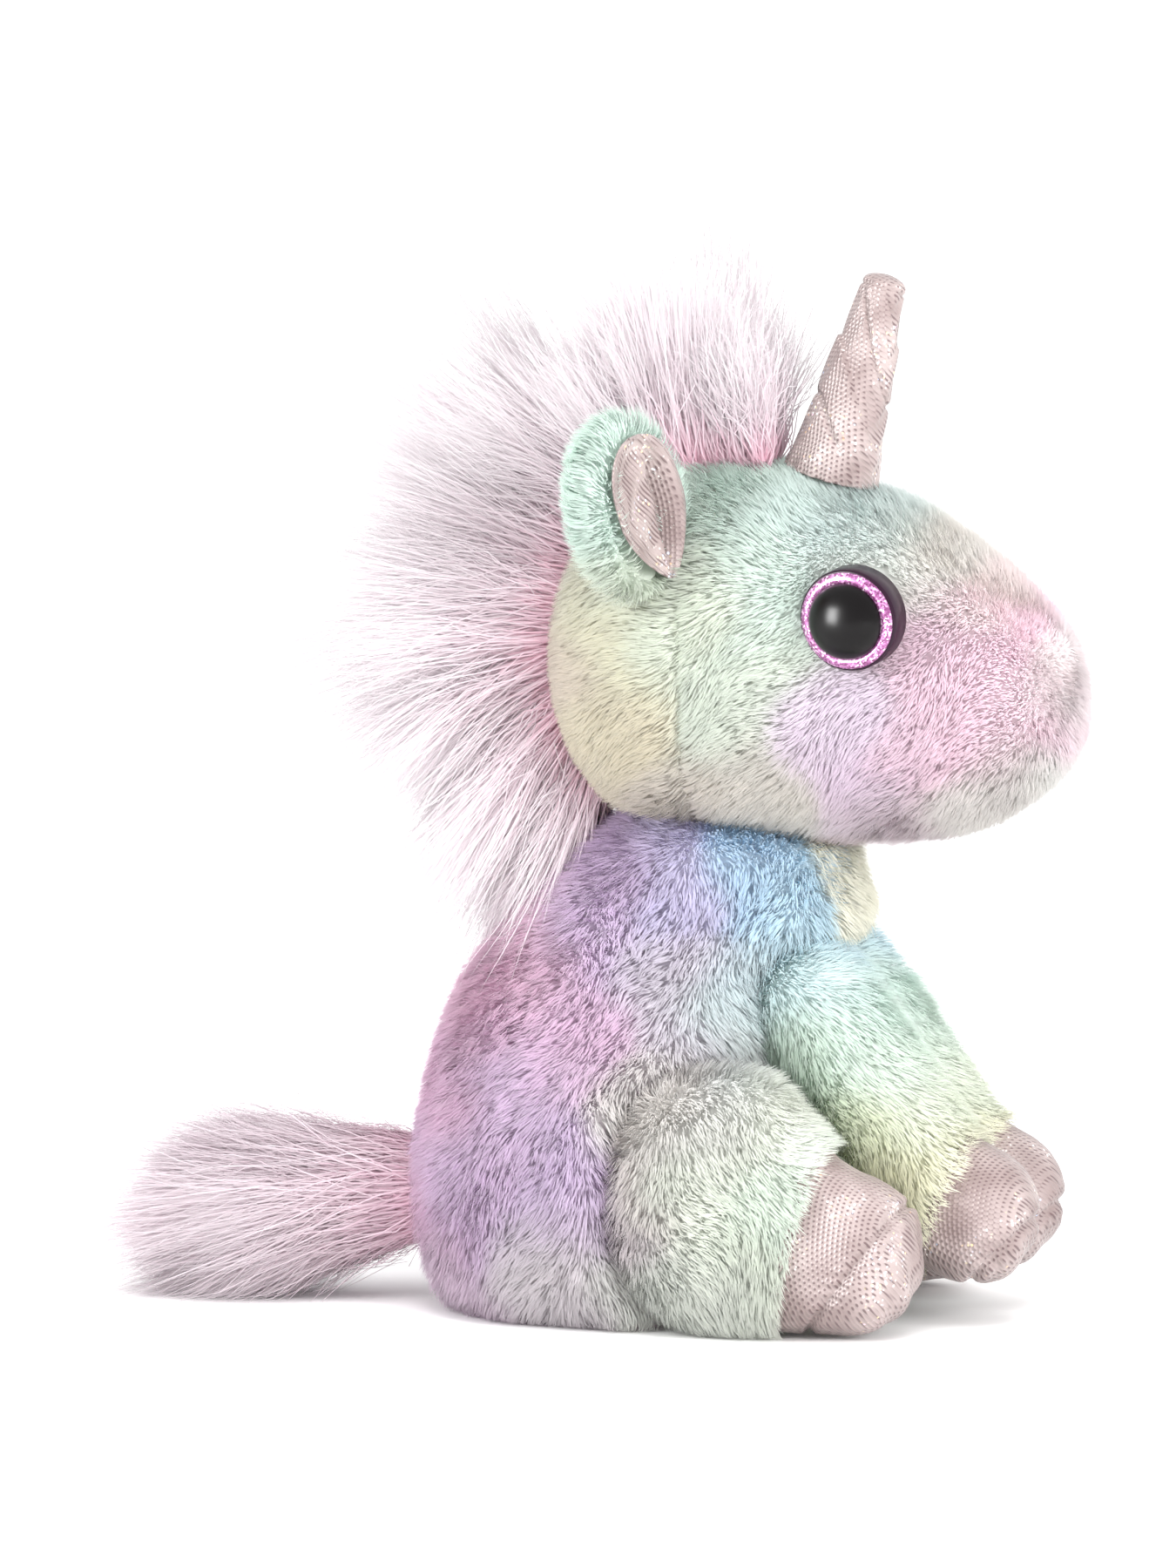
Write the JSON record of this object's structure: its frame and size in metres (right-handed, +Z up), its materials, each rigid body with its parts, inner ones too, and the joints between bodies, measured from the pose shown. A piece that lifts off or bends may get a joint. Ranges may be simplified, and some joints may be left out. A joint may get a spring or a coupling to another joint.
{
  "type": "plush unicorn",
  "caption": "Seated stuffed unicorn with a jointed soft head, legs, ears, horn and tail, foil-dot hooves and horn, and long hair on crest and tail.",
  "frame": {"origin": "middle of the flat seat under the body, on the floor plane", "axes": "+Z up, -Y the way the unicorn faces, +X the unicorn's own left"},
  "size_m": [0.125, 0.2371, 0.2495],
  "materials": {
    "tie_dye_fur": "short plush pile in blended pastel dye",
    "mint_fur": "short plush pile in blended pastel dye",
    "foil_dot_fabric": "knit fabric printed with rose silver foil dots",
    "long_hair": "long silky faux hair, pink roots and pale tips",
    "fibre_fill": "loose polyester fibre fill",
    "black_plastic": "moulded, polished",
    "glitter_ring": "mauve pink glitter under clear coat",
    "washer_plastic": "moulded, satin"
  },
  "bodies": {
    "body": {"body_cover": "tie_dye_fur", "body_stuffing": "fibre_fill"},
    "neck": {"neck_stuffing": "fibre_fill"},
    "head": {"head_cover": "mint_fur", "head_stuffing": "fibre_fill", "eye_rim_right": "black_plastic", "eye_ring_right": "glitter_ring", "eye_dome_right": "black_plastic", "eye_washer_right": "washer_plastic", "eye_rim_left": "black_plastic", "eye_ring_left": "glitter_ring", "eye_dome_left": "black_plastic", "eye_washer_left": "washer_plastic", "mane_hair": "long_hair"},
    "horn": {"horn_cover": "foil_dot_fabric", "horn_stuffing": "fibre_fill"},
    "ear_right": {"ear_back_right": "mint_fur", "ear_lining_right": "foil_dot_fabric"},
    "ear_left": {"ear_back_left": "mint_fur", "ear_lining_left": "foil_dot_fabric"},
    "tail_stub": {"tail_root": "long_hair"},
    "tail": {"tail_hair": "long_hair"},
    "front_leg_right": {"front_leg_cover_right": "mint_fur", "front_leg_stuffing_right": "fibre_fill", "front_hoof_cover_right": "foil_dot_fabric"},
    "front_leg_left": {"front_leg_cover_left": "mint_fur", "front_leg_stuffing_left": "fibre_fill", "front_hoof_cover_left": "foil_dot_fabric"},
    "hind_leg_right": {"hind_leg_cover_right": "tie_dye_fur", "hind_leg_stuffing_right": "fibre_fill", "hind_hoof_cover_right": "foil_dot_fabric"},
    "hind_leg_left": {"hind_leg_cover_left": "tie_dye_fur", "hind_leg_stuffing_left": "fibre_fill", "hind_hoof_cover_left": "foil_dot_fabric"}
  },
  "joints": [
    {"name": "head_turn", "type": "hinge", "parent": "body", "child": "neck", "pos_m": [0, -0.0154, 0.0794], "axis": [0, 0, 1], "range_deg": [-25, 25], "stiffness_Nm_per_rad": 0.4},
    {"name": "head_nod", "type": "hinge", "parent": "neck", "child": "head", "pos_m": [0, -0.0154, 0.0794], "axis": [1, 0, 0], "range_deg": [-10, 12], "stiffness_Nm_per_rad": 1.2},
    {"name": "horn_bend", "type": "hinge", "parent": "head", "child": "horn", "pos_m": [0, -0.041, 0.1995], "axis": [1, 0, 0], "range_deg": [-9, 9], "stiffness_Nm_per_rad": 0.05},
    {"name": "ear_right_flap", "type": "hinge", "parent": "head", "child": "ear_right", "pos_m": [-0.036, -0.005, 0.186], "axis": [-0.301, 0.1405, 0.9432], "range_deg": [-15, 15], "stiffness_Nm_per_rad": 0.03},
    {"name": "ear_left_flap", "type": "hinge", "parent": "head", "child": "ear_left", "pos_m": [0.036, -0.005, 0.186], "axis": [0.301, 0.1405, 0.9432], "range_deg": [-15, 15], "stiffness_Nm_per_rad": 0.03},
    {"name": "tail_swing", "type": "hinge", "parent": "body", "child": "tail_stub", "pos_m": [0, 0.0645, 0.026], "axis": [0, 0, 1], "range_deg": [-25, 25], "stiffness_Nm_per_rad": 0.08},
    {"name": "tail_lift", "type": "hinge", "parent": "tail_stub", "child": "tail", "pos_m": [0, 0.0645, 0.026], "axis": [1, 0, 0], "range_deg": [-5, 14], "stiffness_Nm_per_rad": 0.15},
    {"name": "front_leg_right_swing", "type": "hinge", "parent": "body", "child": "front_leg_right", "pos_m": [-0.0156, -0.037, 0.078], "axis": [1, 0, 0], "range_deg": [-25, 8], "stiffness_Nm_per_rad": 0.25},
    {"name": "front_leg_left_swing", "type": "hinge", "parent": "body", "child": "front_leg_left", "pos_m": [0.0156, -0.037, 0.078], "axis": [1, 0, 0], "range_deg": [-25, 8], "stiffness_Nm_per_rad": 0.25},
    {"name": "hind_leg_right_swing", "type": "hinge", "parent": "body", "child": "hind_leg_right", "pos_m": [-0.0455, -0.026, 0.032], "axis": [1, 0, 0], "range_deg": [-25, 4], "stiffness_Nm_per_rad": 0.3},
    {"name": "hind_leg_left_swing", "type": "hinge", "parent": "body", "child": "hind_leg_left", "pos_m": [0.0455, -0.026, 0.032], "axis": [1, 0, 0], "range_deg": [-25, 4], "stiffness_Nm_per_rad": 0.3}
  ]
}
